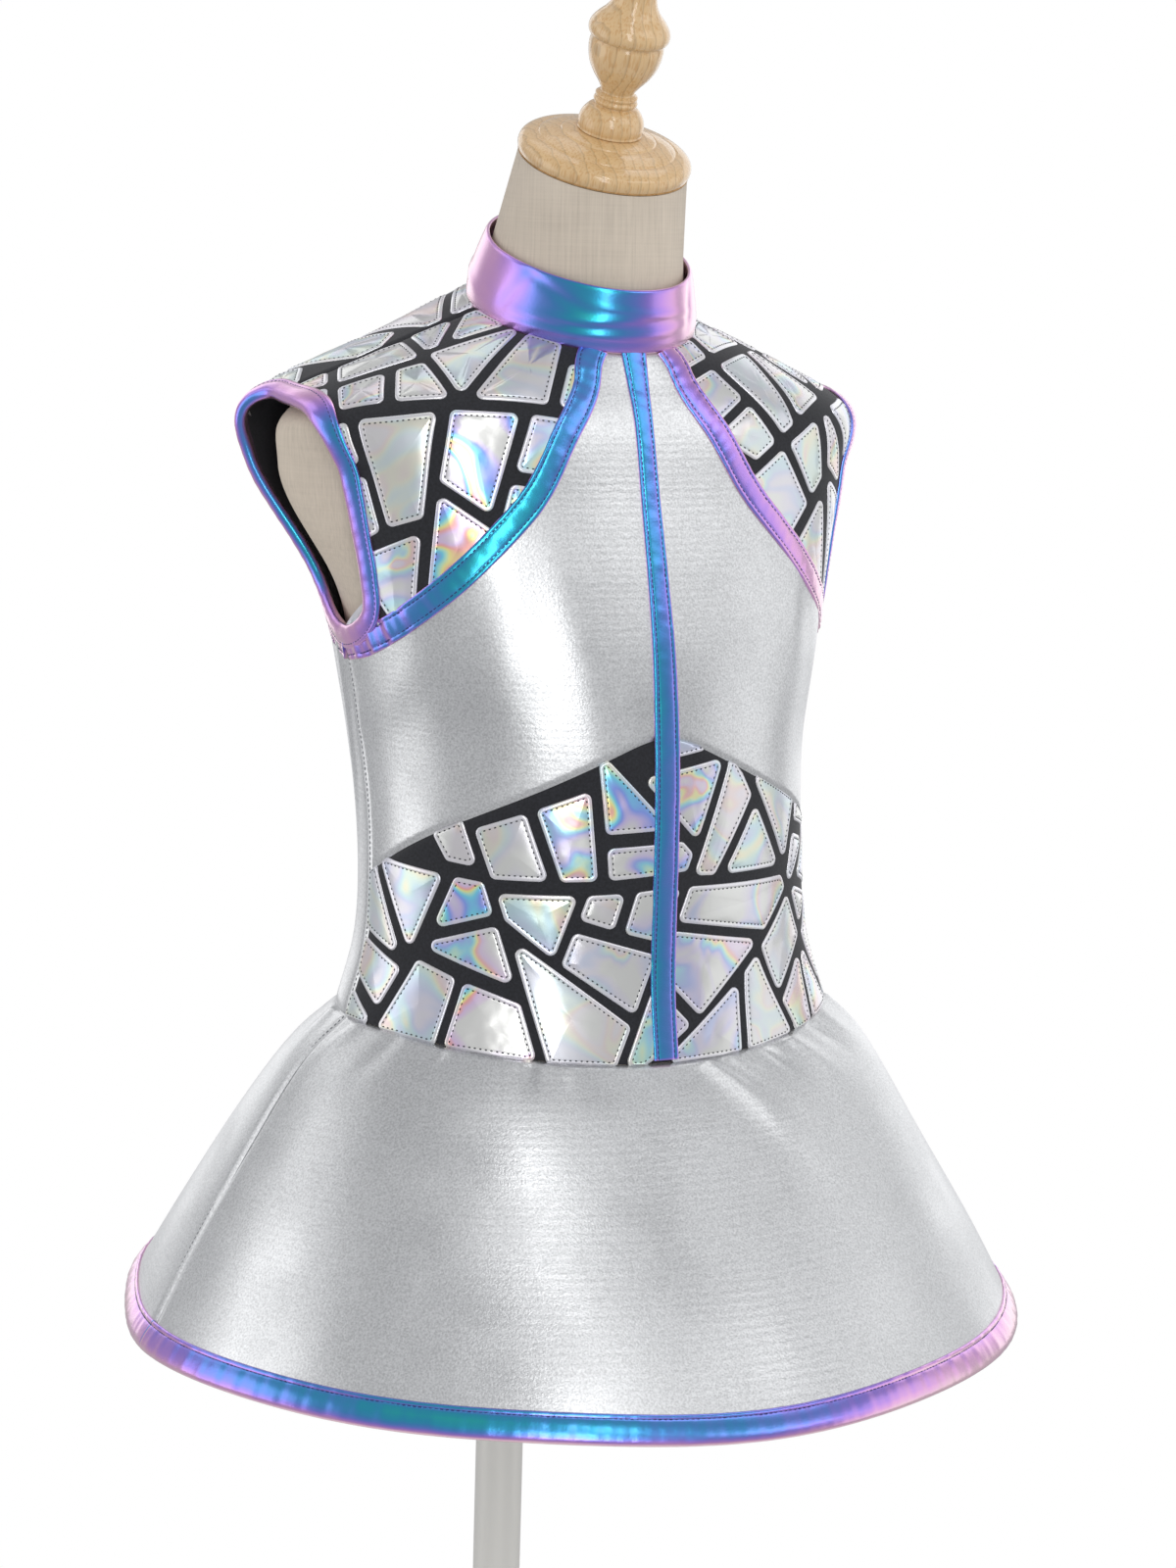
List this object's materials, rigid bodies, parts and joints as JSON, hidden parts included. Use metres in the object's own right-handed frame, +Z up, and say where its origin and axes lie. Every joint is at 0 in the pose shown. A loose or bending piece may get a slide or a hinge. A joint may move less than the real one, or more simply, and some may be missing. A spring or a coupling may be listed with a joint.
{
  "type": "child's alien costume dress on a limbless dress form",
  "caption": "Sleeveless child's costume dress with a stand collar and a flared skirt, worn by a limbless dress form on a pole and a round foot.",
  "frame": {"origin": "on the floor under the middle of the hem", "axes": "+Z up the wearer, -Y out of the wearer's front, +X to the wearer's left"},
  "size_m": [0.4114, 0.395, 1.0574],
  "materials": {
    "silver_lame": "silver foil knit, crushed sheen",
    "mosaic_cloth": "matt black cloth with sewn-on holographic vinyl shards",
    "foil_trim": "iridescent foil knit, teal through violet to pink",
    "form_linen": "slub linen",
    "turned_wood": "gloss lacquer",
    "stand_steel": "brushed"
  },
  "bodies": {
    "root": {"chest_front": "silver_lame", "midriff_front": "mosaic_cloth", "yoke_front_right": "mosaic_cloth", "yoke_front_left": "mosaic_cloth", "yoke_back_right": "mosaic_cloth", "yoke_back_left": "mosaic_cloth", "back_body_right": "silver_lame", "back_body_left": "silver_lame", "centre_band": "foil_trim", "collar": "foil_trim", "raglan_band_front_right": "foil_trim", "raglan_band_front_left": "foil_trim", "raglan_band_back_right": "foil_trim", "raglan_band_back_left": "foil_trim", "armhole_binding_right": "foil_trim", "armhole_binding_left": "foil_trim", "skirt_front": "silver_lame", "skirt_back": "silver_lame", "hem_band_front": "foil_trim", "hem_band_back": "foil_trim", "form_torso": "form_linen", "form_cap": "turned_wood", "form_finial": "turned_wood", "form_pole": "stand_steel", "form_pole_socket": "stand_steel", "form_foot": "stand_steel"}
  },
  "joints": []
}
